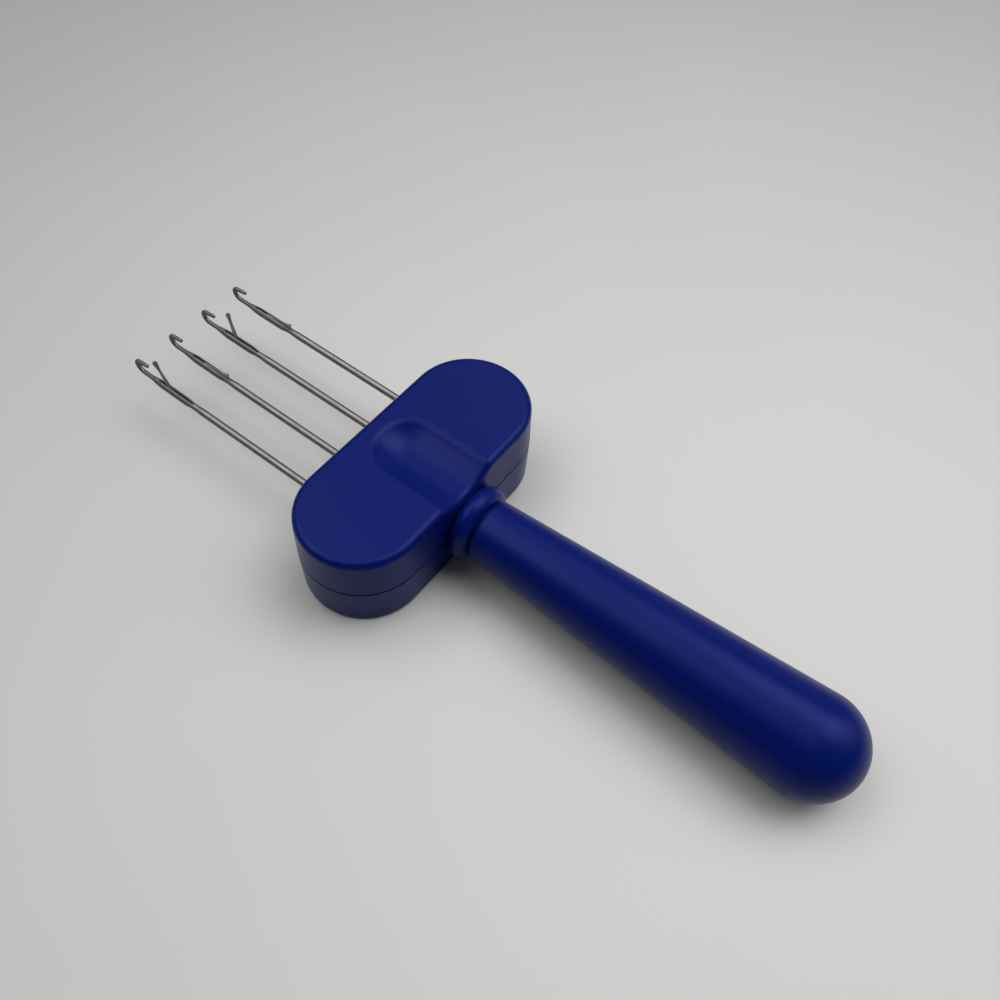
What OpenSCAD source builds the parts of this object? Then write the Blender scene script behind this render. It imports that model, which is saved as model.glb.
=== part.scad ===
// Four-needle latch hook, lying on a table, in millimetres.
// +X points at the needle tips and +Z is up. The origin is the middle of the head's flat base.

/* [Head] */
// Width of the head, measured along the needles
head_w = 34.5; // [33:0.5:42]
// Length of the head, measured across the needles
head_l = 78.2; // [76:0.2:96]
// Height of the head over both shells, which is also the diameter of the handle's end
head_h = 26.8; // [26:0.2:32]
// How far each shell's side leans in over its height
shell_draft = 0.3; // [0.1:0.05:0.6]
// Rounding of the upper edge of the head
top_round = 1.8; // [0.8:0.1:2.2]
// Rounding of the lower edge of the head
base_round = 1.2; // [0.6:0.1:2]
// Wall of both shells
shell_wall = 2.4; // [2:0.1:2.8]
// Bevel on each side of the parting line
seam_bevel = 0.3; // [0.1:0.05:0.5]

/* [Thumb scoop] */
// Width of the scoop where it meets the upper face, before its lips are rounded
scoop_w = 18.5; // [16:0.5:21]
// Depth of the scoop below the upper face
scoop_depth = 3.1; // [1.5:0.1:3.4]
// Distance from the middle of the head to the scoop's front end
scoop_front = 12; // [9:0.1:13]
// Rounding of the scoop's two long lips and of its front end
lip_round = 4; // [2:0.1:4.4]
// Rounding of the scoop's open rear rim
rim_round = 1.6; // [0.5:0.1:1.8]

/* [Needles] */
// Distance between neighbouring needles, half an inch
needle_pitch = 12.7; // [12.2:0.1:13.2]
// Diameter of the round shank
needle_d = 2.1; // [1.9:0.05:2.3]
// Distance from the front of the head to the end of the hooks
needle_reach = 72.1; // [60:0.1:90]
// Diameter of the waist behind the laid-back latch
waist_d = 1.8; // [1.6:0.05:1.9]
// Height of the slotted cheeks
cheek_h = 2.4; // [2.2:0.05:2.8]
// Thickness of the pressed cheeks
cheek_t = 1.8; // [1.6:0.05:2.2]
// Length of the parallel part of the cheeks
cheek_len = 9.5; // [8:0.5:12]
// Length of the taper from the cheeks to the hook's wire
nose_len = 4.8; // [3:0.1:5]
// Diameter of the hook's wire
hook_wire_d = 1.3; // [0.9:0.05:1.4]
// Distance between the middles of the stem and the bend's top
hook_rise = 3.9; // [3.4:0.1:4.6]
// Radius of the bend's upper quarter; the lower one is wider and takes the rest of the rise
hook_top_r = 1.65; // [1.3:0.05:1.8]
// Length of the straight beard behind the bend
beard_len = 3.7; // [2.5:0.1:4]
// Angle by which the beard rises towards its tip
beard_tilt = 8; // [0:1:10]
// Diameter of the beard's rounded tip
beard_tip_d = 1.05; // [0.6:0.05:1.1]
// Length of the butt that is bent down behind the needle bar
butt_len = 5; // [3:0.5:6]

/* [Latches] */
// Distance from the end of the hook back to the latch pivot
pivot_back = 14.15; // [13.6:0.05:14.6]
// Height of the latch pivot over the needle's middle
pivot_lift = 0.2; // [0:0.05:0.3]
// Length of a latch from its pivot to its tip
latch_len = 10.1; // [9.6:0.1:10.6]
// Thickness of a latch
latch_t = 0.45; // [0.4:0.05:0.6]
// Height of a latch's blade behind the spoon
latch_h = 0.9; // [0.6:0.05:1]
// Width of the spoon at a latch's tip
spoon_w = 1.3; // [1:0.05:1.5]
// Length of the spoon with the part that widens towards it
spoon_len = 3.4; // [2.8:0.1:3.5]
// Diameter of the rivet that a latch turns on
rivet_d = 0.8; // [0.6:0.05:0.9]
// Diameter of a latch round its rivet
latch_eye_d = 1.6; // [1.4:0.05:1.8]
// Radial running clearance of a latch on its rivet
pivot_gap = 0.05; // [0.02:0.01:0.08]
// Clearance on each side of a latch in its slot
slot_gap = 0.06; // [0.05:0.01:0.1]
// Angle of latch 1, from lying forward at 0 to lying back at 180
latch_1_angle = 66; // [31:1:169]
// Angle of latch 2
latch_2_angle = 169; // [31:1:169]
// Angle of latch 3
latch_3_angle = 82; // [31:1:169]
// Angle of latch 4
latch_4_angle = 169; // [31:1:169]

/* [Handle and neck] */
// Distance from the back of the head to the front of the handle
neck_len = 6.55; // [6:0.05:8]
// Diameter of the handle at its front
handle_front_d = 17.3; // [16.8:0.1:20]
// Length of the handle with its round end
handle_len = 107.5; // [90:0.5:130]
// Diameter of the bead between head and handle
bead_d = 21.2; // [19:0.1:22]
// Width of the bead, measured along the handle
bead_w = 5.8; // [5.6:0.1:6.6]
// Width of the groove between the bead and the handle
groove_w = 0.8; // [0.3:0.1:1]
// Diameter at the bottom of the groove between bead and handle
groove_d = 14.4; // [13.6:0.1:15]
// Bevel round the front edge of the handle
handle_bevel = 0.4; // [0.2:0.1:0.8]
// Diameter of the collar's plug inside the handle
plug_d = 12.4; // [11:0.1:13]
// Length of the plug
plug_len = 14; // [10:0.5:20]
// Diameter of the collar where it passes the head's wall
spigot_d = 12; // [11:0.1:13]
// Diameter of the steel tang
tang_d = 6; // [5:0.1:6.4]
// Length of the tang inside the handle
tang_in_handle = 52; // [30:1:70]

/* [Parts inside the head] */
// Length of the needle bar, measured across the needles
bar_l = 50; // [46:0.5:50]
// Width of the needle bar, measured along the needles
bar_w = 10; // [9:0.5:11]
// Height of the needle bar
bar_h = 8; // [7:0.5:8]
// Thickness of the clamp plate
plate_t = 1.6; // [1.2:0.1:2]
// Diameter of the clamp screws
clamp_screw_d = 2.5; // [2:0.1:3]
// Diameter of the screws that join the shells
shell_screw_d = 3; // [2.6:0.1:3.4]
// Length of the shell screws under their heads
shell_screw_len = 16; // [13:0.5:17]
// General clearance between pieces that are laid into each other
fit_gap = 0.2; // [0.1:0.05:0.25]

/* [Hidden] */
$fn = 64;

// Small overshoot that lets a cut run past the face it opens
over = 1;
// How far ribs and bosses are rooted in the walls that carry them
root = 1;
// Radial clearance of pieces that are pressed or glued together
snug = 0.02;

// Head
head_r = head_w / 2;
end_y = head_l / 2 - head_r;
seam_z = head_h / 2;
cavity_r = head_r - shell_wall;
front_x = head_r;
back_x = -head_r;
inner_back_x = back_x + shell_wall;
scoop_r = (scoop_w * scoop_w / 4 + scoop_depth * scoop_depth) / (2 * scoop_depth);
scoop_axis_z = head_h - scoop_depth + scoop_r;
scoop_ball_x = scoop_front - scoop_w / 2;
lip_y = sqrt(scoop_depth * (2 * (scoop_r + lip_round) - scoop_depth));
lip_angle = atan(lip_y / (scoop_axis_z - head_h + lip_round));
rim_x = back_x + shell_draft;
scoop_steps = 14;
scoop_wall = 2.2;
scoop_pad_z = head_h - scoop_depth - scoop_wall;
ceiling_z = head_h - shell_wall;

// Needles
needle_n = 4;
shank_r = needle_d / 2;
wire_r = hook_wire_d / 2;
hook_end_x = front_x + needle_reach;
bend_x = hook_end_x - wire_r - hook_top_r;
hook_stem_r = hook_rise - hook_top_r;
stem_bend_x = hook_end_x - wire_r - hook_stem_r;
beard_end_x = bend_x - beard_len;
beard_x = bend_x + hook_top_r * sin(beard_tilt);
beard_z = seam_z + hook_stem_r + hook_top_r * cos(beard_tilt);
nose_end_x = beard_end_x;
cheek_front_x = nose_end_x - nose_len;
cheek_back_x = cheek_front_x - cheek_len;
waist_len = 2;
waist_taper = 2.2;
pivot_x = hook_end_x - pivot_back;
pivot_z = seam_z + pivot_lift;
slot_w = latch_t + 2 * slot_gap;
slot_floor_gap = 0.15;
slot_floor_z = pivot_z - latch_eye_d / 2 - slot_floor_gap;
slot_flat = 1.4;
slot_end_depth = 0.5;
slot_end_z = seam_z + waist_d / 2 - slot_end_depth;
slot_short = 1.2;
slot_back_x = pivot_x - latch_len + slot_short;
slot_front_len = 4.8;
slot_front_x = pivot_x + slot_front_len;
rivet_proud = 0.1;
latch_angles = [latch_1_angle, latch_2_angle, latch_3_angle, latch_4_angle];

// Needle bar and its clamp
wall_space = 1.85;
bar_front_x = front_x - shell_wall - wall_space;
bar_back_x = bar_front_x - bar_w;
bar_mid_x = (bar_front_x + bar_back_x) / 2;
shank_proud = 0.05;
bar_top_z = seam_z + shank_r - shank_proud;
bar_floor_z = bar_top_z - bar_h;
groove_r = shank_r + snug;
butt_x = bar_back_x - shank_r - snug;
plate_z = seam_z + shank_r;
plate_inset = 0.5;
plate_top_z = plate_z + plate_t;
plate_gap = 0.1;
clamp_screw_y = [-needle_pitch, 0, needle_pitch];
clamp_head_d = 2 * clamp_screw_d;
clamp_head_h = 1.8;
clamp_screw_depth = 5.5;
cradle_lip = 2;
cradle_lip_h = 3;
cradle_room = 0.9;
cradle_in_y = (needle_n - 1) / 2 * needle_pitch + shank_r + cradle_room;
cradle_out_y = bar_l / 2 + fit_gap + cradle_lip;
cradle_lip_z = bar_floor_z + cradle_lip_h;

// Shell screws and their bosses
head_to_screw = 1.9;
screw_head_d = head_to_screw * shell_screw_d;
screw_head_h = 2;
screw_room = 0.5;
drive_w = 0.7;
drive_depth = 1;
screw_sink = 4.5;
boss_wall = 1.15;
sink_d = screw_head_d + 2 * fit_gap;
boss_d = sink_d + 2 * boss_wall;
boss_inset = 1.5;
end_boss_y = end_y + cavity_r - boss_d / 2 - boss_inset;
rear_boss_x = -7;
rear_boss_y = 15;
screw_places = [[0, end_boss_y], [0, -end_boss_y], [rear_boss_x, rear_boss_y], [rear_boss_x, -rear_boss_y]];
peg_x = 9;
peg_out = 9.4;
peg_y = end_y + peg_out;
peg_places = [[peg_x, peg_y], [peg_x, -peg_y]];
peg_d = 2.8;
peg_h = 3;
peg_room = 0.4;
peg_boss_d = 5.4;

// Neck and handle
axis_z = seam_z;
handle_x = back_x - neck_len;
bead_r = bead_w / 2;
bead_x = handle_x + groove_w + bead_r;
head_gap = 0.3;
flange_t = 3;
flange_out_y = 1.8;
flange_out_z = 0.8;
flange_w = spigot_d + 2 * flange_out_y;
flange_h = spigot_d + 2 * flange_out_z;
flange_x = inner_back_x + fit_gap;
rib_t = 2;
rib_x = flange_x + flange_t + fit_gap;
spigot_end_x = rib_x + rib_t + fit_gap;
block_wall = 1.8;
block_w = flange_w + 2 * fit_gap + 2 * block_wall;
washer_t = 1.2;
washer_to_tang = 2.05;
washer_d = washer_to_tang * tang_d;
nut_h_to_tang = 0.8;
nut_h = nut_h_to_tang * tang_d;
flats_to_tang = 1.66;
nut_flats = flats_to_tang * tang_d;
tang_proud = 1;
tang_front_x = spigot_end_x + washer_t + nut_h + tang_proud;
bore_room = 0.5;
tang_back_x = handle_x - tang_in_handle;
handle_end_r = head_h / 2;
handle_end_x = handle_x - handle_len;
ball_x = handle_end_x + handle_end_r;
taper_angle = asin((handle_end_r - handle_front_d / 2) / (handle_x - ball_x));

blue = [0.09, 0.15, 0.42];
steel = [0.62, 0.63, 0.65];
dark_steel = [0.33, 0.34, 0.36];
natural = [0.86, 0.84, 0.78];
zinc = [0.75, 0.76, 0.78];

function needle_y(k) = needle_pitch * ((needle_n + 1) / 2 - k);

// Turns a shape that stands on Z so that it lies along X at the height of the needles
module along_x(x, y = 0, z = seam_z) {
  translate([x, y, z]) rotate([0, 90, 0]) children();
}

// Half section of a shell from its parting plane up, leaning in and rounded at the top
module shell_section(h, edge) {
  lean = atan(shell_draft / (h - seam_bevel));
  cz = h - edge;
  cx = head_r - (cz - seam_bevel) * tan(lean) - edge / cos(lean);
  polygon([
    [0, 0], [head_r - seam_bevel, 0], [head_r, seam_bevel],
    [cx + edge * cos(lean), cz + edge * sin(lean)], [cx, cz], [cx, h], [0, h]
  ]);
  translate([cx, cz]) circle(r = edge);
}

// The outside of a shell: a straight middle and two half-round ends
module shell_outside(h, edge) {
  rotate([90, 0, 0]) linear_extrude(height = 2 * end_y, center = true) {
    shell_section(h, edge);
    mirror([1, 0]) shell_section(h, edge);
  }
  for (side = [0, 180]) {
    rotate([0, 0, side]) translate([0, end_y, 0]) rotate_extrude(angle = 180) shell_section(h, edge);
  }
}

// An upright block with half-round ends, from z0 to z1
module obround(r, z0, z1) {
  translate([-r, -end_y, z0]) cube([2 * r, 2 * end_y, z1 - z0]);
  for (y = [-end_y, end_y]) translate([0, y, z0]) cylinder(r = r, h = z1 - z0);
}

// Everything inside the shell's outer walls, used to trim ribs and blocks
module inside_of_walls() {
  obround(cavity_r + shell_wall / 2, root, head_h - root);
}

// Half outline of the thumb scoop from its middle out: a round trough that turns over into a rounded lip.
// The outline is moved into the shell by the given distance, which the rim's rounding asks for.
function scoop_half(grow) = concat(
  [for (i = [0 : scoop_steps]) let (a = lip_angle * i / scoop_steps)
    [(scoop_r + grow) * sin(a), scoop_axis_z - (scoop_r + grow) * cos(a)]],
  [for (i = [scoop_steps - 1 : -1 : 0]) let (a = lip_angle * i / scoop_steps)
    [lip_y - (lip_round - grow) * sin(a), head_h - lip_round + (lip_round - grow) * cos(a)]],
  [[lip_y, head_h + over]]
);

// Whole outline of the scoop at one place along X, as a ring of points
function scoop_ring(x, half) = concat(
  [[x, 0, head_h + over]],
  [for (i = [len(half) - 1 : -1 : 0]) [x, half[i][0], half[i][1]]],
  [for (i = [1 : len(half) - 1]) [x, -half[i][0], half[i][1]]]
);

// The scoop's trough, which flares at the rear face so that its rim is rounded
module scoop_trough() {
  flare_steps = 6;
  stations = concat(
    [[back_x - over, rim_round]],
    [for (a = [0 : 90 / flare_steps : 90]) [rim_x + rim_round * (1 - cos(a)), rim_round * (1 - sin(a))]],
    [[scoop_ball_x, 0]]
  );
  rings = [for (s = stations) scoop_ring(s[0], scoop_half(s[1]))];
  w = len(rings[0]);
  last = len(rings) - 1;
  polyhedron(
    points = [for (ring = rings) each ring],
    faces = concat(
      [[for (j = [0 : w - 1]) (w - j) % w]],
      [[for (j = [0 : w - 1]) last * w + j]],
      [for (k = [0 : last - 1]) for (j = [0 : w - 1])
        [k * w + j, k * w + (j + 1) % w, (k + 1) * w + (j + 1) % w, (k + 1) * w + j]]
    )
  );
}

// Tool of the thumb scoop: the trough along X with a half-round front end
module scoop_cut() {
  scoop_trough();
  translate([scoop_ball_x, 0, 0]) rotate([0, 0, -90]) rotate_extrude(angle = 180, $fn = 96)
    polygon(concat([[0, head_h + over]], scoop_half(0)));
}

// Holes for the needles through the front wall, half in each shell
module needle_holes() {
  for (k = [1 : needle_n]) {
    along_x(cavity_r - over, needle_y(k)) cylinder(d = needle_d + fit_gap, h = shell_wall + 2 * over);
  }
}

// Block round the collar's flange, before its pocket is cut
module neck_block() {
  block_x = inner_back_x - root;
  translate([block_x, -block_w / 2, root]) cube([rib_x + rib_t - block_x, block_w, head_h - 2 * root]);
}

// Pocket of the flange and passage of the spigot
module neck_pocket() {
  h = flange_h + 2 * fit_gap;
  w = flange_w + 2 * fit_gap;
  translate([inner_back_x, -w / 2, axis_z - h / 2]) cube([rib_x - inner_back_x, w, h]);
  along_x(back_x - over) cylinder(d = spigot_d + fit_gap, h = rib_x + rib_t - back_x + 2 * over);
}

// Two blocks that carry the ends of the needle bar and keep it from shifting
module bar_cradle() {
  cradle_x = bar_back_x - fit_gap - cradle_lip;
  difference() {
    for (side = [-1, 1]) {
      y0 = side > 0 ? cradle_in_y : -cradle_out_y;
      translate([cradle_x, y0, root])
        cube([cavity_r + root - cradle_x, cradle_out_y - cradle_in_y, cradle_lip_z - root]);
    }
    translate([bar_back_x - fit_gap, -bar_l / 2 - fit_gap, bar_floor_z])
      cube([bar_w + 2 * fit_gap, bar_l + 2 * fit_gap, head_h]);
  }
}

// Upper half of the head, with the thumb scoop
module upper_shell() color(blue) {
  plate_rib_z = plate_top_z + plate_gap;
  plate_rib_w = 6;
  plate_rib_t = 2;
  plate_rib_y = cradle_in_y + 1.5;
  difference() {
    translate([0, 0, seam_z]) shell_outside(head_h - seam_z, top_round);
    difference() {
      obround(cavity_r, seam_z - over, ceiling_z);
      translate([back_x, -lip_y - root, scoop_pad_z])
        cube([scoop_ball_x + lip_y + root - back_x, 2 * (lip_y + root), head_h]);
      intersection() {
        neck_block();
        inside_of_walls();
      }
      for (p = screw_places) translate([p[0], p[1], 0]) cylinder(d = boss_d, h = head_h);
      for (p = peg_places) translate([p[0], p[1], 0]) cylinder(d = peg_boss_d, h = head_h);
      for (side = [-1, 1]) {
        translate([bar_mid_x - plate_rib_w / 2, side * plate_rib_y - plate_rib_t / 2, plate_rib_z])
          cube([plate_rib_w, plate_rib_t, head_h]);
      }
    }
    scoop_cut();
    needle_holes();
    neck_pocket();
    for (p = screw_places) {
      translate([p[0], p[1], seam_z - over])
        cylinder(d = shell_screw_d, h = screw_sink + shell_screw_len + screw_room - seam_z + over);
    }
    for (p = peg_places) {
      translate([p[0], p[1], seam_z - over]) cylinder(d = peg_d + fit_gap / 2, h = peg_h + peg_room + over);
    }
  }
}

// Lower half of the head, with the bosses, pegs and the cradle of the needle bar
module lower_shell() color(blue) {
  difference() {
    translate([0, 0, seam_z]) mirror([0, 0, 1]) shell_outside(seam_z, base_round);
    difference() {
      obround(cavity_r, shell_wall, seam_z + over);
      intersection() {
        neck_block();
        inside_of_walls();
      }
      intersection() {
        bar_cradle();
        inside_of_walls();
      }
      for (p = screw_places) translate([p[0], p[1], 0]) cylinder(d = boss_d, h = head_h);
      for (p = peg_places) translate([p[0], p[1], 0]) cylinder(d = peg_boss_d, h = head_h);
    }
    needle_holes();
    neck_pocket();
    for (p = screw_places) {
      translate([p[0], p[1], -over]) cylinder(d = sink_d, h = screw_sink + over);
      translate([p[0], p[1], 0]) cylinder(d = shell_screw_d + 2 * fit_gap, h = seam_z + over);
    }
  }
  for (p = peg_places) translate([p[0], p[1], seam_z]) cylinder(d = peg_d, h = peg_h);
}

// Four self-tapping screws, driven from below
module shell_screws() color(zinc) {
  for (p = screw_places) {
    translate([p[0], p[1], screw_sink]) {
      cylinder(d = shell_screw_d, h = shell_screw_len);
      difference() {
        translate([0, 0, -screw_head_h]) cylinder(d = screw_head_d, h = screw_head_h);
        for (a = [0, 90]) {
          rotate([0, 0, a]) translate([-screw_head_d * 0.3, -drive_w / 2, -screw_head_h - over])
            cube([screw_head_d * 0.6, drive_w, drive_depth + over]);
        }
      }
    }
  }
}

// Bar with a groove for each needle, which hook behind it with their bent butts
module needle_bar() color(natural) {
  difference() {
    translate([bar_back_x, -bar_l / 2, bar_floor_z]) cube([bar_w, bar_l, bar_h]);
    for (k = [1 : needle_n]) {
      along_x(bar_back_x - over, needle_y(k)) cylinder(r = groove_r, h = bar_w + 2 * over);
      translate([bar_back_x - over, needle_y(k) - groove_r, seam_z])
        cube([bar_w + 2 * over, 2 * groove_r, bar_h]);
    }
    for (y = clamp_screw_y) {
      translate([bar_mid_x, y, plate_z - clamp_screw_depth - screw_room])
        cylinder(d = clamp_screw_d, h = clamp_screw_depth + screw_room + over);
    }
  }
}

// Steel strip that presses the needles into their grooves
module clamp_plate() color(steel) {
  difference() {
    translate([bar_back_x + plate_inset, -bar_l / 2 + plate_inset, plate_z])
      cube([bar_w - 2 * plate_inset, bar_l - 2 * plate_inset, plate_t]);
    for (y = clamp_screw_y) {
      translate([bar_mid_x, y, plate_z - over]) cylinder(d = clamp_screw_d + fit_gap, h = plate_t + 2 * over);
    }
  }
}

// Three screws that draw the clamp plate down
module clamp_screws() color(zinc) {
  for (y = clamp_screw_y) {
    translate([bar_mid_x, y, plate_top_z]) {
      difference() {
        cylinder(d = clamp_head_d, h = clamp_head_h);
        translate([-clamp_head_d, -drive_w / 2, clamp_head_h - drive_depth])
          cube([2 * clamp_head_d, drive_w, drive_depth + over]);
      }
      translate([0, 0, -plate_t - clamp_screw_depth])
        cylinder(d = clamp_screw_d, h = plate_t + clamp_screw_depth);
    }
  }
}

// Collar: plug in the handle, bead behind the head, spigot and square flange inside the head
module collar() color(blue) {
  plug_x = handle_x - plug_len;
  neck_x = back_x - head_gap;
  difference() {
    union() {
      along_x(plug_x) cylinder(d = plug_d, h = neck_x - plug_x);
      along_x(neck_x - over) cylinder(d = spigot_d, h = spigot_end_x - neck_x + over);
      along_x(handle_x) cylinder(d = groove_d, h = neck_x - handle_x);
      intersection() {
        along_x(bead_x) rotate_extrude() translate([bead_d / 2 - bead_r, 0]) circle(r = bead_r);
        translate([handle_x, -bead_d, axis_z - bead_d]) cube([neck_x - handle_x, 2 * bead_d, 2 * bead_d]);
      }
      translate([flange_x, -flange_w / 2, axis_z - flange_h / 2]) cube([flange_t, flange_w, flange_h]);
    }
    along_x(plug_x - over) cylinder(d = tang_d + 2 * snug, h = spigot_end_x - plug_x + 2 * over);
  }
}

// Steel tang that runs from the handle through the collar into the head
module tang_rod() color(steel) {
  chamfer = 0.6;
  along_x(tang_back_x) cylinder(d = tang_d, h = tang_front_x - tang_back_x - chamfer);
  along_x(tang_front_x - chamfer) cylinder(d1 = tang_d, d2 = tang_d - 2 * chamfer, h = chamfer);
}

// Washer under the nut
module tang_washer() color(zinc) {
  along_x(spigot_end_x) difference() {
    cylinder(d = washer_d, h = washer_t);
    translate([0, 0, -over]) cylinder(d = tang_d + 2 * fit_gap, h = washer_t + 2 * over);
  }
}

// Hexagon nut on the tang's thread
module tang_nut() color(zinc) {
  along_x(spigot_end_x + washer_t) difference() {
    cylinder(d = nut_flats / cos(30), h = nut_h, $fn = 6);
    translate([0, 0, -over]) cylinder(d = tang_d + 2 * snug, h = nut_h + 2 * over);
  }
}

// Handle: a tapered grip that ends in a ball, with a socket for the plug and a bore for the tang
module handle() color(blue) {
  front_r = handle_front_d / 2;
  meet_x = ball_x + handle_end_r * sin(taper_angle);
  meet_r = handle_end_r * cos(taper_angle);
  difference() {
    union() {
      translate([ball_x, 0, axis_z]) sphere(r = handle_end_r, $fn = 128);
      along_x(meet_x) rotate_extrude($fn = 128) polygon([
        [0, 0], [meet_r, 0], [front_r, handle_x - meet_x - handle_bevel],
        [front_r - handle_bevel, handle_x - meet_x], [0, handle_x - meet_x]
      ]);
    }
    along_x(handle_x - plug_len - bore_room) cylinder(d = plug_d + 2 * snug, h = plug_len + bore_room + over);
    along_x(tang_back_x - bore_room) cylinder(d = tang_d + 2 * snug, h = tang_in_handle + bore_room + over);
  }
}

// The needle without its hook, turned about its own length: shank, waist, cheeks and nose
module needle_blank() {
  waist_r = waist_d / 2;
  cheek_r = cheek_h / 2;
  x0 = butt_x;
  waist_front = cheek_back_x - waist_taper;
  waist_back = waist_front - waist_len;
  along_x(x0) rotate_extrude() polygon([
    [0, 0], [shank_r, 0], [shank_r, waist_back - waist_taper - x0], [waist_r, waist_back - x0],
    [waist_r, waist_front - x0], [cheek_r, cheek_back_x - x0], [cheek_r, cheek_front_x - x0],
    [wire_r, nose_end_x - x0], [0, nose_end_x - x0]
  ]);
}

// One needle: bent butt, shank, pressed cheeks with slot and rivet hole, and the open hook
module needle(k) color(steel) translate([0, needle_y(k), 0]) {
  press_x = cheek_back_x - waist_taper - waist_len / 2;
  press_t = cheek_h;
  beard_h = (beard_x - beard_end_x - beard_tip_d / 2) / cos(beard_tilt);
  beard_root = 0.05;
  beard_step = 0.02;
  difference() {
    needle_blank();
    for (side = [-1, 1]) {
      translate([press_x, side * (cheek_t / 2 + press_t / 2) - press_t / 2, seam_z - cheek_h])
        cube([hook_end_x - press_x, press_t, 2 * cheek_h]);
    }
    rotate([90, 0, 0]) linear_extrude(height = slot_w, center = true) polygon([
      [slot_back_x, slot_end_z], [pivot_x - slot_flat, slot_floor_z], [pivot_x + slot_flat, slot_floor_z],
      [slot_front_x, slot_end_z], [slot_front_x, seam_z + cheek_h], [slot_back_x, seam_z + cheek_h]
    ]);
    translate([pivot_x, 0, pivot_z]) rotate([90, 0, 0]) cylinder(d = rivet_d, h = 4 * cheek_t, center = true);
  }
  along_x(nose_end_x) cylinder(r = wire_r, h = stem_bend_x - nose_end_x);
  translate([stem_bend_x, 0, seam_z + hook_stem_r]) rotate([90, 0, 0]) rotate([0, 0, -90])
    rotate_extrude(angle = 90) translate([hook_stem_r, 0]) circle(r = wire_r, $fn = 32);
  translate([bend_x, 0, seam_z + hook_stem_r]) rotate([90, 0, 0])
    rotate_extrude(angle = 90 - beard_tilt) translate([hook_top_r, 0]) circle(r = wire_r, $fn = 32);
  translate([beard_x, 0, beard_z]) rotate([0, beard_tilt - 90, 0]) {
    translate([0, 0, -beard_root])
      cylinder(d1 = hook_wire_d - beard_step, d2 = beard_tip_d, h = beard_h + beard_root);
    translate([0, 0, beard_h]) sphere(d = beard_tip_d, $fn = 32);
  }
  translate([butt_x, 0, seam_z]) sphere(r = shank_r);
  translate([butt_x, 0, seam_z - butt_len]) cylinder(r = shank_r, h = butt_len);
}

// Rivet through both cheeks of one needle
module latch_rivet(k) color(dark_steel) {
  h = cheek_t + 2 * rivet_proud;
  translate([pivot_x, needle_y(k), pivot_z]) rotate([90, 0, 0]) cylinder(d = rivet_d, h = h, center = true);
}

// A latch lying forward along X with its eye at the origin; its hollow side looks down
module latch_flat() {
  tip_r = spoon_w / 2;
  tip_x = latch_len - tip_r;
  spoon_x = latch_len - spoon_len;
  spoon_t = 0.6;
  spoon_angle = atan((tip_r - latch_t / 2) / (tip_x - spoon_x));
  side_x = tip_x - tip_r * sin(spoon_angle);
  side_y = tip_r * cos(spoon_angle);
  eye_r = latch_eye_d / 2;
  cup_r = 2.4;
  cup_depth = 0.28;
  cup_back = 1.3;
  difference() {
    union() {
      rotate([90, 0, 0]) cylinder(r = eye_r, h = latch_t, center = true);
      rotate([90, 0, 0]) linear_extrude(height = latch_t, center = true) polygon([
        [0, -eye_r], [spoon_x, -latch_h / 2], [tip_x, -spoon_t / 2],
        [tip_x, spoon_t / 2], [spoon_x, latch_h / 2], [0, eye_r]
      ]);
      difference() {
        intersection() {
          translate([0, 0, -spoon_t / 2]) linear_extrude(height = spoon_t) {
            polygon([
              [spoon_x, -latch_t / 2], [side_x, -side_y], [tip_x, -side_y],
              [tip_x, side_y], [side_x, side_y], [spoon_x, latch_t / 2]
            ]);
            translate([tip_x, 0]) circle(r = tip_r);
          }
          along_x(spoon_x - over, 0, 0) cylinder(r = tip_r + snug, h = spoon_len + 2 * over);
        }
        translate([latch_len - cup_back, 0, -spoon_t / 2 + cup_depth - cup_r]) sphere(r = cup_r);
      }
    }
    rotate([90, 0, 0]) cylinder(r = rivet_d / 2 + pivot_gap, h = 2 * latch_t, center = true);
  }
}

// One latch at its angle in the photographed pose
module latch(k) color(dark_steel) {
  translate([pivot_x, needle_y(k), pivot_z]) rotate([0, -latch_angles[k - 1], 0]) latch_flat();
}

upper_shell();
lower_shell();
shell_screws();
needle_bar();
clamp_plate();
clamp_screws();
collar();
tang_rod();
tang_washer();
tang_nut();
handle();
needle(1);  // needle_1
needle(2);  // needle_2
needle(3);  // needle_3
needle(4);  // needle_4
latch_rivet(1);  // latch_rivet_1
latch_rivet(2);  // latch_rivet_2
latch_rivet(3);  // latch_rivet_3
latch_rivet(4);  // latch_rivet_4
latch(1);  // latch_1
latch(2);  // latch_2
latch(3);  // latch_3
latch(4);  // latch_4
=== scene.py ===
"""Looks of a four-needle latch hook: a navy moulded head and grip, steel needles and latches."""

import logging
import math
from collections.abc import Callable, Iterable
from dataclasses import dataclass
from enum import Enum

import bpy
from mathutils import Euler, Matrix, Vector

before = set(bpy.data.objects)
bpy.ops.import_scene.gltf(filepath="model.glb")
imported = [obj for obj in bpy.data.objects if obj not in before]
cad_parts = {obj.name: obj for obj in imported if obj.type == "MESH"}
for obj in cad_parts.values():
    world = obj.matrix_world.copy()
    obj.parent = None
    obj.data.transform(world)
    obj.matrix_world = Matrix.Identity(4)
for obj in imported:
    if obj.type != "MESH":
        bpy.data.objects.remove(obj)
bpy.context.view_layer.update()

log = logging.getLogger("latch_hook")

MM = 0.001
MICRON = 0.000001
NEEDLE_COUNT = 4

Numbers = tuple[float, float, float]
Colour = tuple[float, float, float]
Range = tuple[float, float]
Sockets = dict[str, bpy.types.NodeSocket]

BLACK: Colour = (0.0, 0.0, 0.0)
WHITE: Colour = (1.0, 1.0, 1.0)

# Places of the colour sockets in Blender's Mix node.
MIX_FIRST, MIX_SECOND, MIX_RESULT = 6, 7, 2


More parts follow.
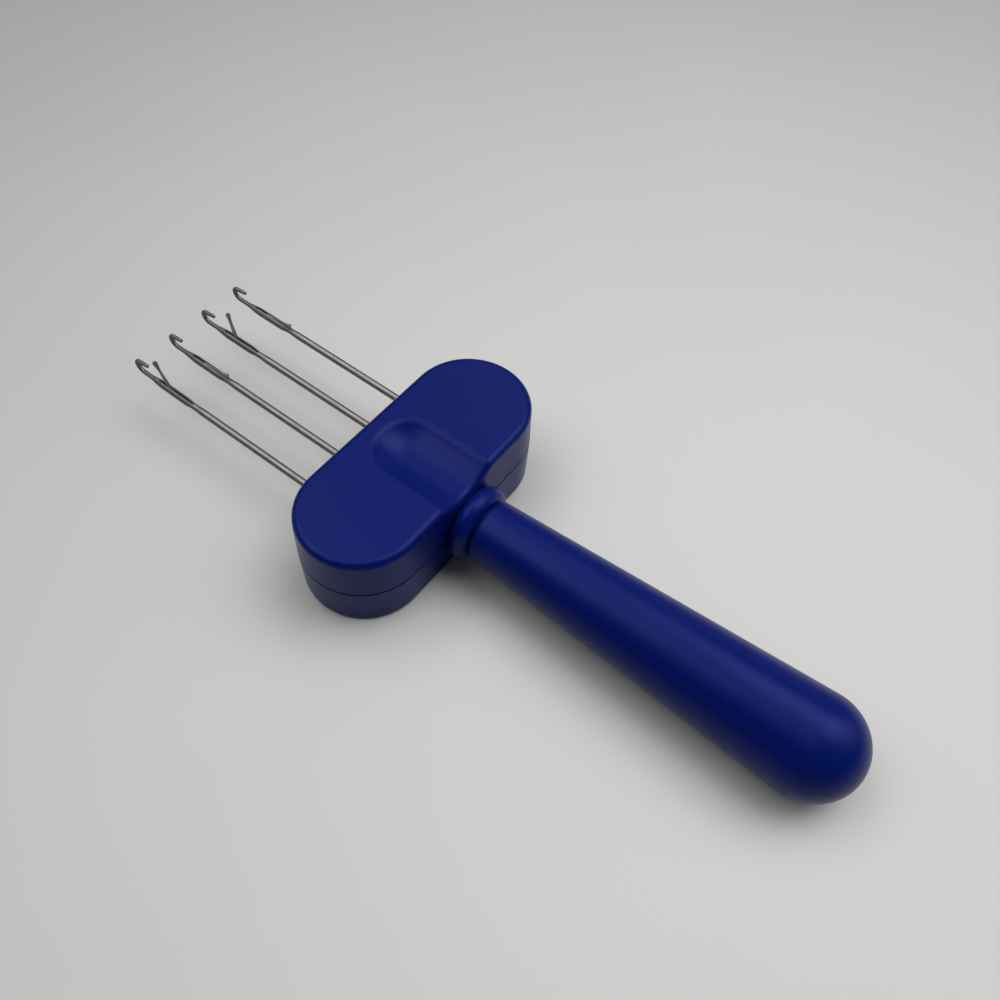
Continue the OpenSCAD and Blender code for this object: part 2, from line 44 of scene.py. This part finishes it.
class Slot(Enum):
    """Names of the record's material slots."""

    HEAD_PLASTIC = "head_plastic"
    GRIP_PLASTIC = "grip_plastic"
    NEEDLE_STEEL = "needle_steel"
    LATCH_STEEL = "latch_steel"
    PLAIN_STEEL = "plain_steel"
    ZINC = "zinc_screws"
    NYLON = "bar_plastic"


class Graph:
    """A small helper that adds nodes to one node tree and links them."""

    def __init__(self, tree: bpy.types.NodeTree) -> None:
        """Keeps the tree that the nodes go into.

        Args:
            tree: the tree of a material, a world or a node group.
        """
        self.tree = tree

    def node(self, kind: str, **values: object) -> bpy.types.Node:
        """Adds a node.

        Args:
            kind: Blender's name for the node's type.
            values: properties of the node, by name.

        Returns:
            The new node.
        """
        made = self.tree.nodes.new(kind)
        for name, value in values.items():
            setattr(made, name, value)
        return made

    def feed(self, socket: bpy.types.NodeSocket, value: object) -> None:
        """Links an output to an input, or sets the input to a plain value.

        Args:
            socket: the input.
            value: an output socket, or a number, colour or vector.
        """
        if isinstance(value, bpy.types.NodeSocket):
            self.tree.links.new(value, socket)
        else:
            socket.default_value = value

    def place(self) -> bpy.types.NodeSocket:
        """Adds the node that tells where on its object a point lies."""
        return self.node("ShaderNodeTexCoord").outputs["Object"]

    def math(self, operation: str, a: object, b: object = 0.0,
             c: object = 0.0) -> bpy.types.NodeSocket:
        """Adds a Math node.

        Args:
            operation: Blender's name for the operation.
            a: first input, a socket or a number.
            b: second input.
            c: third input.

        Returns:
            The node's output.
        """
        made = self.node("ShaderNodeMath", operation=operation)
        for socket, value in zip(made.inputs, (a, b, c)):
            self.feed(socket, value)
        return made.outputs[0]

    def scaled(self, vector: object, scale: Numbers) -> bpy.types.NodeSocket:
        """Multiplies a vector by three numbers.

        Args:
            vector: the vector's output socket.
            scale: the factor along each axis.

        Returns:
            The product's output socket.
        """
        made = self.node("ShaderNodeVectorMath", operation="MULTIPLY")
        self.feed(made.inputs[0], vector)
        made.inputs[1].default_value = scale
        return made.outputs[0]

    def noise(self, vector: object, scale: object, detail: float = 3.0) -> bpy.types.NodeSocket:
        """Adds a Noise texture.

        Args:
            vector: where the noise is read, as a socket.
            scale: cells for each metre, as a socket or a number.
            detail: number of finer layers.

        Returns:
            The noise's value, from 0 to 1.
        """
        made = self.node("ShaderNodeTexNoise")
        self.feed(made.inputs["Vector"], vector)
        self.feed(made.inputs["Scale"], scale)
        made.inputs["Detail"].default_value = detail
        return made.outputs[0]

    def spread(self, value: object, low: object, high: object, to_low: object = 0.0,
               to_high: object = 1.0) -> bpy.types.NodeSocket:
        """Maps a value from one range to another, easing in and out, and clamps it.

        Args:
            value: the value's socket.
            low: the value that becomes to_low.
            high: the value that becomes to_high.
            to_low: the result at low.
            to_high: the result at high.

        Returns:
            The mapped value's socket.
        """
        made = self.node("ShaderNodeMapRange", interpolation_type="SMOOTHSTEP")
        for name, number in (("Value", value), ("From Min", low), ("From Max", high),
                             ("To Min", to_low), ("To Max", to_high)):
            self.feed(made.inputs[name], number)
        return made.outputs["Result"]

    def blend(self, share: object, a: object, b: object) -> bpy.types.NodeSocket:
        """Mixes two colours.

        Args:
            share: how much of b there is, from 0 to 1.
            a: the first colour, as a socket or four numbers.
            b: the second colour.

        Returns:
            The mixed colour's socket.
        """
        made = self.node("ShaderNodeMix", data_type="RGBA")
        self.feed(made.inputs[0], share)
        self.feed(made.inputs[MIX_FIRST], a)
        self.feed(made.inputs[MIX_SECOND], b)
        return made.outputs[MIX_RESULT]

    def bump(self, height: object, distance: float, normal: object) -> bpy.types.NodeSocket:
        """Adds a Bump node.

        Args:
            height: the relief's socket.
            distance: how deep the relief is, in metres.
            normal: the normal that the relief is added to.

        Returns:
            The bumped normal's socket.
        """
        made = self.node("ShaderNodeBump")
        made.inputs["Strength"].default_value = 1.0
        made.inputs["Distance"].default_value = distance
        self.feed(made.inputs["Height"], height)
        self.feed(made.inputs["Normal"], normal)
        return made.outputs[0]


FLOAT = "NodeSocketFloat"
VECTOR = "NodeSocketVector"


def effect_group(name: str, inputs: dict[str, float], outputs: dict[str, str],
                 fill: Callable[[Graph, Sockets], dict[str, object]]) -> bpy.types.NodeTree:
    """Makes a shader node group with named sockets.

    Args:
        name: the group's name.
        inputs: each input's name with its default number.
        outputs: each output's name with its socket type.
        fill: adds the nodes, given the graph and the inputs' sockets, and returns the outputs.

    Returns:
        The group's node tree.
    """
    tree = bpy.data.node_groups.new(name, "ShaderNodeTree")
    for label, default in inputs.items():
        made = tree.interface.new_socket(name=label, in_out="INPUT", socket_type=FLOAT)
        made.default_value = default
    for label, kind in outputs.items():
        tree.interface.new_socket(name=label, in_out="OUTPUT", socket_type=kind)
    graph = Graph(tree)
    enter = graph.node("NodeGroupInput")
    leave = graph.node("NodeGroupOutput")
    results = fill(graph, {label: enter.outputs[label] for label in inputs})
    for label, value in results.items():
        graph.feed(leave.inputs[label], value)
    return tree


# Noise textures: scales are in cells for each metre, and their values lie around the middle.
NOISE_MIDDLE = 0.5

CLOUD_SCALE = 45.0
FLOW_SCALE = 160.0
FLOW_STRETCH: Numbers = (0.35, 1.0, 1.0)


def fill_mould_grain(graph: Graph, given: Sockets) -> dict[str, object]:
    """Nodes of the fine texture that a spark-eroded mould leaves on plastic.

    Args:
        graph: the group's graph.
        given: the sockets Grain, in cells for each metre, and Cloud, the wide variation's strength.

    Returns:
        Height for a bump, and Gloss, a value around zero that is added to the roughness.
    """
    place = graph.place()
    fine = graph.noise(place, given["Grain"], 2.0)
    wide = graph.noise(place, CLOUD_SCALE, 2.0)
    flow = graph.noise(graph.scaled(place, FLOW_STRETCH), FLOW_SCALE)
    cloud = graph.math("ADD", graph.math("SUBTRACT", wide, NOISE_MIDDLE),
                       graph.math("SUBTRACT", flow, NOISE_MIDDLE))
    return {"Height": fine, "Gloss": graph.math("MULTIPLY", cloud, given["Cloud"])}


@dataclass(frozen=True)
class ScratchSheet:
    """Scratches that run one way: its turn in radians, how long they are drawn, two scales."""

    turn: float
    stretch: float
    line_scale: float
    patch_scale: float


SCRATCH_SHEETS = (
    ScratchSheet(turn=0.6, stretch=18.0, line_scale=44.2, patch_scale=82.4),
    ScratchSheet(turn=-0.9, stretch=26.0, line_scale=53.4, patch_scale=100.8),
    ScratchSheet(turn=1.9, stretch=22.0, line_scale=40.4, patch_scale=74.8),
)
SCRATCH_AXIS: Numbers = (0.15, 0.1, 1.0)
SCRATCH_WIDTH = 0.008
# The noise above which a patch is scratched at Amount 0, how far Amount lowers it, and its fade.
PATCH_START = 0.72
PATCH_GAIN = 0.22
PATCH_FADE = 0.05


def fill_scuffs(graph: Graph, given: Sockets) -> dict[str, object]:
    """Nodes of thin handling scratches that run in three directions.

    Args:
        graph: the group's graph.
        given: the socket Amount, from 0 for none to 1 for many.

    Returns:
        Mask, 1 on a scratch and 0 beside it.
    """
    place = graph.place()
    mask: object = None
    for sheet in SCRATCH_SHEETS:
        turned = graph.node("ShaderNodeVectorRotate", rotation_type="AXIS_ANGLE")
        graph.feed(turned.inputs["Vector"], place)
        turned.inputs["Axis"].default_value = SCRATCH_AXIS
        turned.inputs["Angle"].default_value = sheet.turn
        long = graph.scaled(turned.outputs[0], (1.0, sheet.stretch, sheet.stretch))
        lines = graph.noise(long, sheet.line_scale, 1.0)
        away = graph.math("ABSOLUTE", graph.math("SUBTRACT", lines, NOISE_MIDDLE))
        thin = graph.spread(away, 0.0, SCRATCH_WIDTH, 1.0, 0.0)
        where = graph.noise(place, sheet.patch_scale, 2.0)
        low = graph.math("SUBTRACT", PATCH_START,
                         graph.math("MULTIPLY", given["Amount"], PATCH_GAIN))
        patch = graph.spread(where, low, graph.math("ADD", low, PATCH_FADE))
        marks = graph.math("MULTIPLY", thin, patch)
        mask = marks if mask is None else graph.math("MAXIMUM", mask, marks)
    return {"Mask": mask}


RUB_SAMPLES = 4
# How alike the softened and the flat normal are, as a cosine, where the rub is full and gone.
RUB_BEND: Range = (0.80, 0.995)
RUB_SCALE = 900.0
RUB_BREAKS: Range = (0.35, 0.65)


def fill_edge_rub(graph: Graph, given: Sockets) -> dict[str, object]:
    """Nodes that find the edges that hands and tables rub.

    Args:
        graph: the group's graph.
        given: the socket Width, in metres.

    Returns:
        Mask, 1 on an edge, broken up by noise, and Normal, with the edges softened.
    """
    soft = graph.node("ShaderNodeBevel", samples=RUB_SAMPLES)
    graph.feed(soft.inputs["Radius"], given["Width"])
    flat = graph.node("ShaderNodeNewGeometry").outputs["Normal"]
    alike = graph.node("ShaderNodeVectorMath", operation="DOT_PRODUCT")
    graph.feed(alike.inputs[0], soft.outputs[0])
    graph.feed(alike.inputs[1], flat)
    bend = graph.spread(alike.outputs["Value"], *RUB_BEND, 1.0, 0.0)
    broken = graph.spread(graph.noise(graph.place(), RUB_SCALE), *RUB_BREAKS)
    return {"Mask": graph.math("MULTIPLY", bend, broken), "Normal": soft.outputs[0]}


LINE_STRETCH: Numbers = (0.02, 1.0, 1.0)
STREAKS: Range = (0.3, 0.7)
STAIN_STRETCH: Numbers = (0.5, 1.0, 1.0)
STAIN_SCALE = 700.0
STAINS: Range = (0.5, 0.72)


def fill_drawn_lines(graph: Graph, given: Sockets) -> dict[str, object]:
    """Nodes of the fine lines that drawing and polishing leave along a steel wire.

    Args:
        graph: the group's graph.
        given: the socket Fineness, in lines for each metre across the wire.

    Returns:
        Height for a bump, Streak, from 0 to 1, and Stain, a mask of duller patches.
    """
    place = graph.place()
    lines = graph.noise(graph.scaled(place, LINE_STRETCH), given["Fineness"])
    patches = graph.noise(graph.scaled(place, STAIN_STRETCH), STAIN_SCALE, 4.0)
    return {"Height": lines, "Streak": graph.spread(lines, *STREAKS),
            "Stain": graph.spread(patches, *STAINS)}


@dataclass(frozen=True)
class Effects:
    """The node groups that several finishes share."""

    mould_grain: bpy.types.NodeTree
    scuffs: bpy.types.NodeTree
    edge_rub: bpy.types.NodeTree
    drawn_lines: bpy.types.NodeTree

    @classmethod
    def build(cls) -> "Effects":
        """Makes each group once.

        Returns:
            The groups.
        """
        return cls(
            effect_group("mould_grain", {"Grain": 3000.0, "Cloud": 0.1},
                         {"Height": FLOAT, "Gloss": FLOAT}, fill_mould_grain),
            effect_group("scuffs", {"Amount": 0.5}, {"Mask": FLOAT}, fill_scuffs),
            effect_group("edge_rub", {"Width": 0.3 * MM},
                         {"Mask": FLOAT, "Normal": VECTOR}, fill_edge_rub),
            effect_group("drawn_lines", {"Fineness": 6000.0},
                         {"Height": FLOAT, "Streak": FLOAT, "Stain": FLOAT}, fill_drawn_lines),
        )


def place_group(graph: Graph, tree: bpy.types.NodeTree, **values: float) -> bpy.types.NodeOutputs:
    """Places a node group in a material.

    Args:
        graph: the material's graph.
        tree: the group.
        values: the group's inputs, by name.

    Returns:
        The group node's outputs.
    """
    made = graph.node("ShaderNodeGroup", node_tree=tree)
    for name, value in values.items():
        made.inputs[name].default_value = value
    return made.outputs


def new_material(name: str) -> tuple[bpy.types.Material, Graph, bpy.types.Node]:
    """Makes a material with one Principled shader.

    Args:
        name: the material's name.

    Returns:
        The material, its graph and the shader node.
    """
    material = bpy.data.materials.new(name)
    material.use_nodes = True
    graph = Graph(material.node_tree)
    return material, graph, material.node_tree.nodes["Principled BSDF"]


def solid(colour: Colour) -> tuple[float, float, float, float]:
    """The colour with a full alpha."""
    return (*colour, 1.0)


@dataclass(frozen=True)
class Plastic:
    """A moulded plastic with a fine grain, faint scratches and rubbed edges, and where seam is
    given, painted shade along the parting line.

    seam is the height of the parting line along which a dark line of painted shade is drawn, or 0
    where there is none.
    """

    name: str
    slot: Slot
    colour: Colour
    rubbed: Colour
    roughness: float
    grain: float = 3200.0
    grain_height: float = 4 * MICRON
    cloud: float = 0.10
    scratches: float = 0.25
    scratch_share: float = 0.35
    scratch_dulling: float = 0.2
    edge: float = 0.25 * MM
    edge_share: float = 0.5
    refraction: float = 1.28
    sheen: Colour = (0.36, 0.43, 0.9)
    seam: float = 0.0
    # The painted shade along the parting line: how far from it the shade is full and gone, its dark
    # colour, and the noise that makes it uneven.
    seam_shade_reach: Range = (0.1 * MM, 0.38 * MM)
    seam_shade_colour: Colour = (0.001, 0.0015, 0.008)
    seam_shade_scale: float = 160.0
    seam_shade_patches: Range = (0.25, 0.6)
    seam_shade_least: float = 0.65

    def build(self, effects: Effects) -> bpy.types.Material:
        """Makes the material.

        Args:
            effects: the shared node groups.

        Returns:
            The material.
        """
        material, graph, shader = new_material(self.name)
        grain = place_group(graph, effects.mould_grain, Grain=self.grain, Cloud=self.cloud)
        scuffs = place_group(graph, effects.scuffs, Amount=self.scratches)
        rub = place_group(graph, effects.edge_rub, Width=self.edge)
        worn = graph.math("MAXIMUM", graph.math("MULTIPLY", rub["Mask"], self.edge_share),
                          graph.math("MULTIPLY", scuffs["Mask"], self.scratch_share))
        tone = graph.blend(worn, solid(self.colour), solid(self.rubbed))
        # Painted shade: a dark line is drawn along the parting line, where shade falls in its
        # groove.
        if self.seam:
            tone = graph.blend(self.painted_seam_shade(graph), tone, solid(self.seam_shade_colour))
        graph.feed(shader.inputs["Base Color"], tone)
        rough = graph.math("ADD", graph.math("ADD", grain["Gloss"], self.roughness),
                           graph.math("MULTIPLY", scuffs["Mask"], self.scratch_dulling))
        graph.feed(shader.inputs["Roughness"], rough)
        relief = graph.bump(grain["Height"], self.grain_height, rub["Normal"])
        graph.feed(shader.inputs["Normal"], relief)
        shader.inputs["IOR"].default_value = self.refraction
        shader.inputs["Specular Tint"].default_value = solid(self.sheen)
        return material

    def painted_seam_shade(self, graph: Graph) -> bpy.types.NodeSocket:
        """Adds the nodes of the painted shade along the parting line, made uneven by noise.

        Args:
            graph: the material's graph.

        Returns:
            A mask, 1 in the line's bottom and 0 a little beside it.
        """
        place = graph.place()
        split = graph.node("ShaderNodeSeparateXYZ")
        graph.feed(split.inputs[0], place)
        away = graph.math("ABSOLUTE", graph.math("SUBTRACT", split.outputs["Z"], self.seam))
        near = graph.spread(away, *self.seam_shade_reach, 1.0, 0.0)
        uneven = graph.spread(graph.noise(place, self.seam_shade_scale), *self.seam_shade_patches,
                              self.seam_shade_least, 1.0)
        return graph.math("MULTIPLY", near, uneven)


@dataclass(frozen=True)
class Steel:
    """A steel with drawn lines, duller stains and rubbed edges.

    dark gives the places along X where the steel begins to darken and is all stained. Both lie
    beyond the tool unless they are given.
    """

    name: str
    slot: Slot
    colour: Colour
    stain: Colour
    roughness: float
    fineness: float = 6000.0
    line_height: float = 2 * MICRON
    line_dulling: float = 0.12
    stain_share: float = 0.5
    stain_dulling: float = 0.1
    dark: Range = (1000 * MM, 2000 * MM)
    edge: float = 0.08 * MM
    edge_share: float = 0.4
    bright_edge: Colour = (0.7, 0.7, 0.7)
    rim: Colour = WHITE

    def build(self, effects: Effects) -> bpy.types.Material:
        """Makes the material.

        Args:
            effects: the shared node groups.

        Returns:
            The material.
        """
        material, graph, shader = new_material(self.name)
        lines = place_group(graph, effects.drawn_lines, Fineness=self.fineness)
        rub = place_group(graph, effects.edge_rub, Width=self.edge)
        along = graph.node("ShaderNodeSeparateXYZ")
        graph.feed(along.inputs[0], graph.place())
        dark = graph.spread(along.outputs["X"], *self.dark)
        dull = graph.math("MAXIMUM", graph.math("MULTIPLY", lines["Stain"], self.stain_share), dark)
        tone = graph.blend(dull, solid(self.colour), solid(self.stain))
        bright = graph.blend(graph.math("MULTIPLY", rub["Mask"], self.edge_share), tone,
                             solid(self.bright_edge))
        graph.feed(shader.inputs["Base Color"], bright)
        shader.inputs["Metallic"].default_value = 1.0
        shader.inputs["Specular Tint"].default_value = solid(self.rim)
        rough = graph.math("ADD", self.roughness,
                           graph.math("MULTIPLY", lines["Streak"], self.line_dulling))
        rough = graph.math("ADD", rough, graph.math("MULTIPLY", dull, self.stain_dulling))
        graph.feed(shader.inputs["Roughness"], rough)
        relief = graph.bump(lines["Height"], self.line_height, rub["Normal"])
        graph.feed(shader.inputs["Normal"], relief)
        return material


NAVY: Colour = (0.0013, 0.0072, 0.106)
NAVY_RUBBED: Colour = (0.010, 0.026, 0.17)
NAVY_ROUGHNESS = 0.31

# The two shells meet halfway up the head.
PARTING_HEIGHT = 13.4 * MM

# Along X: the needles darken from the end of the shank to the cheeks.
SHANK_TO_CHEEKS: Range = (62 * MM, 70 * MM)

FINISHES = (
    # The head's material paints shade along the parting line.
    Plastic(name="navy_head", slot=Slot.HEAD_PLASTIC, colour=NAVY, rubbed=NAVY_RUBBED,
            roughness=NAVY_ROUGHNESS, seam=PARTING_HEIGHT),
    Plastic(name="navy_grip", slot=Slot.GRIP_PLASTIC, colour=NAVY, rubbed=NAVY_RUBBED,
            roughness=NAVY_ROUGHNESS),
    Plastic(name="natural_nylon", slot=Slot.NYLON, colour=(0.7, 0.67, 0.58),
            rubbed=(0.8, 0.78, 0.7), roughness=0.55, refraction=1.5, sheen=WHITE),
    Steel(name="needle_wire", slot=Slot.NEEDLE_STEEL, colour=(0.235, 0.233, 0.224),
          stain=(0.19, 0.19, 0.18), roughness=0.37, rim=(0.3, 0.3, 0.3), dark=SHANK_TO_CHEEKS),
    Steel(name="latch_blade", slot=Slot.LATCH_STEEL, colour=(0.24, 0.24, 0.232),
          stain=(0.18, 0.18, 0.176), roughness=0.42),
    Steel(name="machined_steel", slot=Slot.PLAIN_STEEL, colour=(0.55, 0.55, 0.54),
          stain=(0.4, 0.4, 0.38), roughness=0.3),
    Steel(name="zinc_plate", slot=Slot.ZINC, colour=(0.65, 0.66, 0.68),
          stain=(0.5, 0.5, 0.5), roughness=0.3),
)


@dataclass
class Dresser:
    """Gives CAD nodes their materials and reports each one."""

    materials: dict[Slot, bpy.types.Material]

    def dress(self, names: Iterable[str], slot: Slot) -> None:
        """Puts one material on some CAD nodes and logs which one each wears.

        Args:
            names: the nodes' names.
            slot: the record's material slot.
        """
        for name in names:
            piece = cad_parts[name]
            piece.data.materials.clear()
            piece.data.materials.append(self.materials[slot])
            log.info("%s wears %s", name, self.materials[slot].name)


@dataclass
class Head:
    """The moulded head: two shells, their screws and the bar that holds the needles."""

    shells: tuple[str, ...] = ("upper_shell", "lower_shell")
    screws: tuple[str, ...] = ("shell_screws", "clamp_screws")
    bar: str = "needle_bar"
    plate: str = "clamp_plate"

    def build(self, dresser: Dresser) -> None:
        """Dresses the head's pieces.

        Args:
            dresser: puts the materials on.
        """
        dresser.dress(self.shells, Slot.HEAD_PLASTIC)
        dresser.dress(self.screws, Slot.ZINC)
        dresser.dress((self.bar,), Slot.NYLON)
        dresser.dress((self.plate,), Slot.PLAIN_STEEL)


@dataclass
class Grip:
    """The handle, the bead behind the head and the steel tang inside both."""

    plastic: tuple[str, ...] = ("handle", "collar")
    rod: str = "tang_rod"
    hardware: tuple[str, ...] = ("tang_washer", "tang_nut")

    def build(self, dresser: Dresser) -> None:
        """Dresses the grip's pieces.

        Args:
            dresser: puts the materials on.
        """
        dresser.dress(self.plastic, Slot.GRIP_PLASTIC)
        dresser.dress((self.rod,), Slot.PLAIN_STEEL)
        dresser.dress(self.hardware, Slot.ZINC)


@dataclass
class LatchNeedle:
    """One needle with its latch and rivet."""

    number: int

    def build(self, dresser: Dresser) -> None:
        """Dresses the needle, its rivet and its latch.

        Args:
            dresser: puts the materials on.
        """
        dresser.dress((f"needle_{self.number}",), Slot.NEEDLE_STEEL)
        dresser.dress((f"latch_rivet_{self.number}", f"latch_{self.number}"), Slot.LATCH_STEEL)


@dataclass(frozen=True)
class SkyPatch:
    """A soft round patch of light in the room, seen in one direction.

    It is at its full strength inside the angle inner and gone at outer, both in degrees.
    """

    towards: Numbers
    inner: float
    outer: float
    strength: float

    def glow(self, graph: Graph, sight: bpy.types.NodeSocket) -> bpy.types.NodeSocket:
        """Adds the nodes that find the patch's light.

        Args:
            graph: the world's graph.
            sight: the direction that is looked in.

        Returns:
            The light's socket.
        """
        dot = graph.node("ShaderNodeVectorMath", operation="DOT_PRODUCT")
        graph.feed(dot.inputs[0], sight)
        dot.inputs[1].default_value = Vector(self.towards).normalized()
        edge, core = math.cos(math.radians(self.outer)), math.cos(math.radians(self.inner))
        return graph.spread(dot.outputs["Value"], edge, core, 0.0, self.strength)


@dataclass
class Studio:
    """Camera, pale floor and soft light."""

    room_base: float = 0.04
    patches: tuple[SkyPatch, ...] = (
        SkyPatch(towards=(-0.15, -0.38, 0.91), inner=6.0, outer=28.0, strength=4.6),
        SkyPatch(towards=(-0.50, -0.30, 0.81), inner=6.0, outer=28.0, strength=0.5),
        SkyPatch(towards=(-0.55, -0.58, 0.60), inner=6.0, outer=28.0, strength=1.6),
        SkyPatch(towards=(0.33, 0.20, 0.92), inner=5.0, outer=26.0, strength=2.1),
        SkyPatch(towards=(0.52, -0.15, 0.84), inner=3.0, outer=15.0, strength=3.2),
        SkyPatch(towards=(0.70, 0.25, 0.67), inner=6.0, outer=30.0, strength=0.7),
        SkyPatch(towards=(0.36, -0.58, 0.73), inner=4.0, outer=18.0, strength=1.0),
        SkyPatch(towards=(0.42, 0.42, 0.80), inner=5.0, outer=24.0, strength=0.9),
        SkyPatch(towards=(0.14, -0.94, 0.32), inner=4.0, outer=18.0, strength=0.35),
    )
    eye: Numbers = (-0.101932, 0.112134, 0.226797)
    turn: Numbers = (0.600, -0.040, -2.493)
    lens: float = 34.825
    sensor: float = 36.0
    nearest: float = 10 * MM
    floor_size: float = 4.0
    floor_colour: Colour = (0.533, 0.536, 0.519)
    floor_roughness: float = 0.55
    # The painted pool of light on the table top: its centre and how fast it darkens away from it.
    painted_light_centre: Numbers = (-0.084, -0.064, 0.0)
    painted_light_fall: float = 4.76
    cloud_scale: float = 9.0
    cloud_range: Range = (0.3, 0.7)
    cloud_least: float = 0.98

    def build(self) -> None:
        """Makes the camera, the floor and the room's light."""
        self.camera()
        self.floor()
        self.world()

    def camera(self) -> None:
        """Puts the camera where the photograph was taken from."""
        data = bpy.data.cameras.new("camera")
        data.lens = self.lens
        data.sensor_width = self.sensor
        data.clip_start = self.nearest
        made = bpy.data.objects.new("camera", data)
        made.location = self.eye
        made.rotation_euler = Euler(self.turn, "XYZ")
        bpy.context.scene.collection.objects.link(made)
        bpy.context.scene.camera = made

    def floor(self) -> None:
        """Makes the pale table top, with a painted pool of light."""
        half = self.floor_size / 2
        mesh = bpy.data.meshes.new("floor")
        corners = [(-half, -half, 0), (half, -half, 0), (half, half, 0), (-half, half, 0)]
        mesh.from_pydata(corners, [], [(0, 1, 2, 3)])
        made = bpy.data.objects.new("floor", mesh)
        bpy.context.scene.collection.objects.link(made)
        mesh.materials.append(self.table_top())

    def table_top(self) -> bpy.types.Material:
        """Makes the table's material: a painted pool of light, palest at its centre and darkening
        away from it, and faintly cloudy.

        Returns:
            The material.
        """
        material, graph, shader = new_material("pale_table")
        place = graph.place()
        # Painted light: the colour is palest at the centre and darkens with distance, standing in
        # for the lamps' fall-off.
        away = graph.node("ShaderNodeVectorMath", operation="DISTANCE")
        graph.feed(away.inputs[0], place)
        away.inputs[1].default_value = self.painted_light_centre
        squared = graph.math("POWER", away.outputs["Value"], 2.0)
        glow = graph.math("DIVIDE", 1.0, graph.math("MULTIPLY_ADD", squared, self.painted_light_fall, 1.0))
        cloud = graph.spread(graph.noise(place, self.cloud_scale, 4.0), *self.cloud_range,
                             self.cloud_least, 1.0)
        share = graph.math("MULTIPLY", glow, cloud)
        tone = graph.blend(share, solid(BLACK), solid(self.floor_colour))
        graph.feed(shader.inputs["Base Color"], tone)
        shader.inputs["Roughness"].default_value = self.floor_roughness
        return material

    def world(self) -> None:
        """Fills the room: a dim grey all round, with soft patches of light from above."""
        world = bpy.data.worlds.new("room")
        bpy.context.scene.world = world
        world.use_nodes = True
        graph = Graph(world.node_tree)
        sight = graph.node("ShaderNodeTexCoord").outputs["Generated"]
        light: object = self.room_base
        for patch in self.patches:
            light = graph.math("ADD", light, patch.glow(graph, sight))
        back = world.node_tree.nodes["Background"]
        graph.feed(back.inputs["Color"], light)
        log.info("room light made of %d patches", len(self.patches))


def main() -> None:
    """Builds the object's pieces in order, then the studio."""
    logging.basicConfig(level=logging.INFO, format="%(message)s")
    effects = Effects.build()
    dresser = Dresser({finish.slot: finish.build(effects) for finish in FINISHES})
    Head().build(dresser)
    Grip().build(dresser)
    for number in range(1, NEEDLE_COUNT + 1):
        LatchNeedle(number).build(dresser)
    Studio().build()
    bpy.context.scene.view_settings.view_transform = "Standard"


if __name__ == "__main__":
    main()
